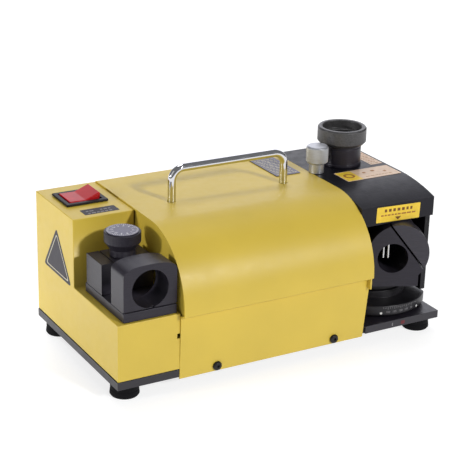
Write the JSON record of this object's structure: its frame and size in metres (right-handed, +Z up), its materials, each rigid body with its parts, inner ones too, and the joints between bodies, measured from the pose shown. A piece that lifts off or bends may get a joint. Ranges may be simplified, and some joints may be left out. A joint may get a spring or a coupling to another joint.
{
  "type": "drill bit sharpener",
  "caption": "Bench drill bit sharpener: sheet-metal motor box on a base plate, setting gauge on the left ledge, cast grinding head with swivelling drill port and top port.",
  "frame": {"origin": "on the floor under the middle of the machine's bounding box", "axes": "+X along the machine from the switch box to the grinding head, +Y from the front to the back, +Z up"},
  "size_m": [0.3204, 0.186, 0.1676],
  "materials": {
    "yellow_paint": "satin powder coat, slight orange peel",
    "black_paint": "semi-gloss black enamel on metal",
    "dark_steel": "blackened turned and milled steel",
    "bright_steel": "plain machined steel",
    "chrome_plate": "polished chrome plate",
    "aluminium": "turned aluminium, fine lines",
    "rubber_feet": "moulded black rubber",
    "black_plastic": "moulded black plastic",
    "red_plastic": "translucent red moulding",
    "circuit_board": "green board with parts",
    "abrasive": "bonded abrasive grit on a metal core"
  },
  "bodies": {
    "machine": {"base_plate": "black_paint", "foot_front_left": "rubber_feet", "foot_front_right": "rubber_feet", "foot_rear_left": "rubber_feet", "foot_rear_right": "rubber_feet", "foot_screw_front_left": "bright_steel", "foot_screw_front_right": "bright_steel", "foot_screw_rear_left": "bright_steel", "foot_screw_rear_right": "bright_steel", "main_cover": "yellow_paint", "cover_left_end": "yellow_paint", "cover_right_end": "yellow_paint", "cover_screw_front_left": "dark_steel", "cover_screw_front_right": "dark_steel", "cover_screw_rear_left": "dark_steel", "cover_screw_rear_right": "dark_steel", "switch_box": "yellow_paint", "cord_gland": "black_plastic", "switch_body": "black_plastic", "carry_handle": "chrome_plate", "handle_nut_left": "bright_steel", "handle_nut_right": "bright_steel", "gauge_base": "dark_steel", "gauge_front_block": "dark_steel", "gauge_rear_block": "dark_steel", "head_housing": "black_paint", "head_side_cover": "black_paint", "side_cover_screw_1": "dark_steel", "side_cover_screw_2": "dark_steel", "side_cover_screw_3": "dark_steel", "swivel_bolt": "bright_steel", "port_collar": "dark_steel", "motor_housing": "dark_steel", "motor_left_cap": "aluminium", "motor_right_cap": "aluminium", "left_bearing": "bright_steel", "right_bearing": "bright_steel", "motor_bracket_left": "black_paint", "motor_bracket_right": "black_paint", "rectifier_board": "circuit_board", "terminal_block": "black_plastic", "nameplate": "aluminium"},
    "rocker": {"switch_rocker": "red_plastic"},
    "gauge_dial": {"gauge_knob": "dark_steel", "gauge_dial_plate": "aluminium", "gauge_spindle": "bright_steel"},
    "gauge_stop": {"gauge_stop": "bright_steel"},
    "drill_port": {"swivel_dial": "dark_steel", "swivel_drum": "dark_steel", "drum_cap": "dark_steel", "index_pin_1": "bright_steel", "index_pin_2": "bright_steel"},
    "port_ring": {"port_ring": "dark_steel"},
    "lock_knob": {"lock_knob": "aluminium"},
    "rotor": {"rotor_shaft": "bright_steel", "cooling_fan": "black_plastic", "grinding_wheel": "abrasive", "wheel_flange": "bright_steel", "wheel_nut": "bright_steel"}
  },
  "joints": [
    {"name": "rocker_tilt", "type": "hinge", "parent": "machine", "child": "rocker", "pos_m": [-0.1333, 0.0455, 0.1317], "axis": [0, 1, 0], "range_deg": [0, 20]},
    {"name": "gauge_knob_turn", "type": "hinge", "parent": "machine", "child": "gauge_dial", "pos_m": [-0.1288, -0.029, 0.115], "axis": [0, 0, 1], "range_deg": [0, 270]},
    {"name": "gauge_stop_slide", "type": "slide", "parent": "machine", "child": "gauge_stop", "axis": [0, -1, 0], "range_m": [0, 0.005]},
    {"name": "drill_port_swivel", "type": "hinge", "parent": "machine", "child": "drill_port", "pos_m": [0.1222, -0.032, 0.031], "axis": [0, 0, 1], "range_deg": [-8.5, 11.5]},
    {"name": "port_ring_turn", "type": "hinge", "parent": "machine", "child": "port_ring", "pos_m": [0.1212, 0.027, 0.16], "axis": [0, 0, 1], "range_deg": [-90, 90]},
    {"name": "lock_knob_turn", "type": "hinge", "parent": "machine", "child": "lock_knob", "pos_m": [0.0858, 0.013, 0.145], "axis": [0, 0, 1], "range_deg": [0, 270]},
    {"name": "rotor_spin", "type": "hinge", "parent": "machine", "child": "rotor", "pos_m": [0.1, 0.027, 0.075], "axis": [1, 0, 0], "continuous": true}
  ],
  "couplings": [
    {"joint": "gauge_stop_slide", "follows": "gauge_knob_turn", "m_per_rad": 0.001061}
  ]
}
